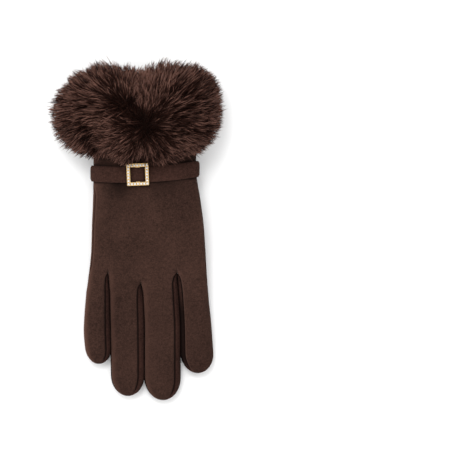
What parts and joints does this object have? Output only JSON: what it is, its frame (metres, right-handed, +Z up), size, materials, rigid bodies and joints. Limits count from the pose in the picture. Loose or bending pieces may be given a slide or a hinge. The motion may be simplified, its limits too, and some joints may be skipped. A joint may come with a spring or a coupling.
{
  "type": "faux fur glove",
  "caption": "Right-hand faux suede glove laid palm down, with a deep faux fur cuff and a wrist strap through a stone-set square slide buckle.",
  "frame": {"origin": "middle of the part's box on the floor that it lies on", "axes": "+X towards the index finger's side, +Y from the fingertips to the open end of the cuff, +Z up, out of the back of the hand"},
  "size_m": [0.13, 0.2496, 0.0552],
  "materials": {
    "suede": "dark brown faux suede with a short, dull nap",
    "strap_suede": "the same faux suede, folded into a flat strap",
    "fur": "long, soft dark brown faux fur with lighter tips",
    "gold": "polished, gold coloured",
    "crystal": "clear cut stones on a bright backing"
  },
  "bodies": {
    "root": {"back_panel": "suede", "palm_panel": "suede", "fourchette_little_ring": "suede", "fourchette_ring_middle": "suede", "fourchette_middle_index": "suede", "thumb": "suede", "fur_cuff": "fur", "strap": "strap_suede", "buckle_frame": "gold", "stone_01": "crystal", "stone_02": "crystal", "stone_03": "crystal", "stone_04": "crystal", "stone_05": "crystal", "stone_06": "crystal", "stone_07": "crystal", "stone_08": "crystal", "stone_09": "crystal", "stone_10": "crystal", "stone_11": "crystal", "stone_12": "crystal", "stone_13": "crystal", "stone_14": "crystal", "stone_15": "crystal", "stone_16": "crystal", "stone_17": "crystal", "stone_18": "crystal", "stone_19": "crystal", "stone_20": "crystal", "stone_21": "crystal", "stone_22": "crystal", "stone_23": "crystal", "stone_24": "crystal"}
  },
  "joints": []
}
